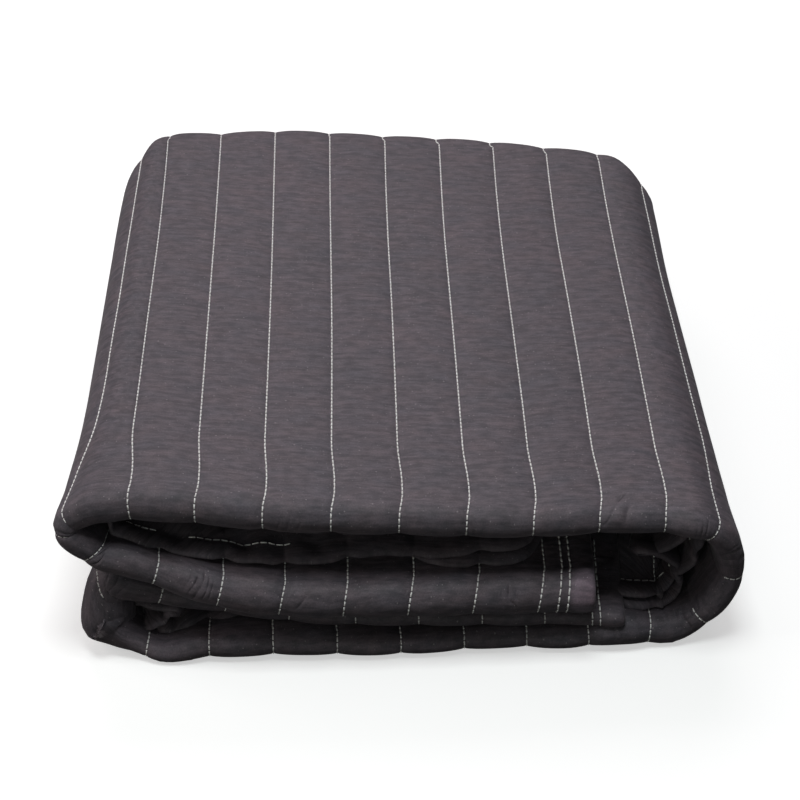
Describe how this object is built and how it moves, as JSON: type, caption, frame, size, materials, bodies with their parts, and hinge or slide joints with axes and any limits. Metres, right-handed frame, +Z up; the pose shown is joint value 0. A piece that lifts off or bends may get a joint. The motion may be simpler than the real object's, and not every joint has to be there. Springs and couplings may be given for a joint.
{
  "type": "moving blanket",
  "caption": "Folded quilted moving blanket: one padded cloth sewn in straight rows, folded into layered panels with a loose rolled front and hemmed ends inside.",
  "frame": {"origin": "centre of the bounding box at its base, on the surface the folded blanket rests on", "axes": "+X across the sewn rows towards the side where both faces turn over in one piece, +Y along the rows from the open rolled front to the back, +Z up"},
  "size_m": [0.4645, 0.5117, 0.1366],
  "materials": {
    "quilted_cloth": "matte woven cloth with a soft sheen, quilted"
  },
  "bodies": {
    "root": {"blanket": "quilted_cloth"}
  },
  "joints": []
}
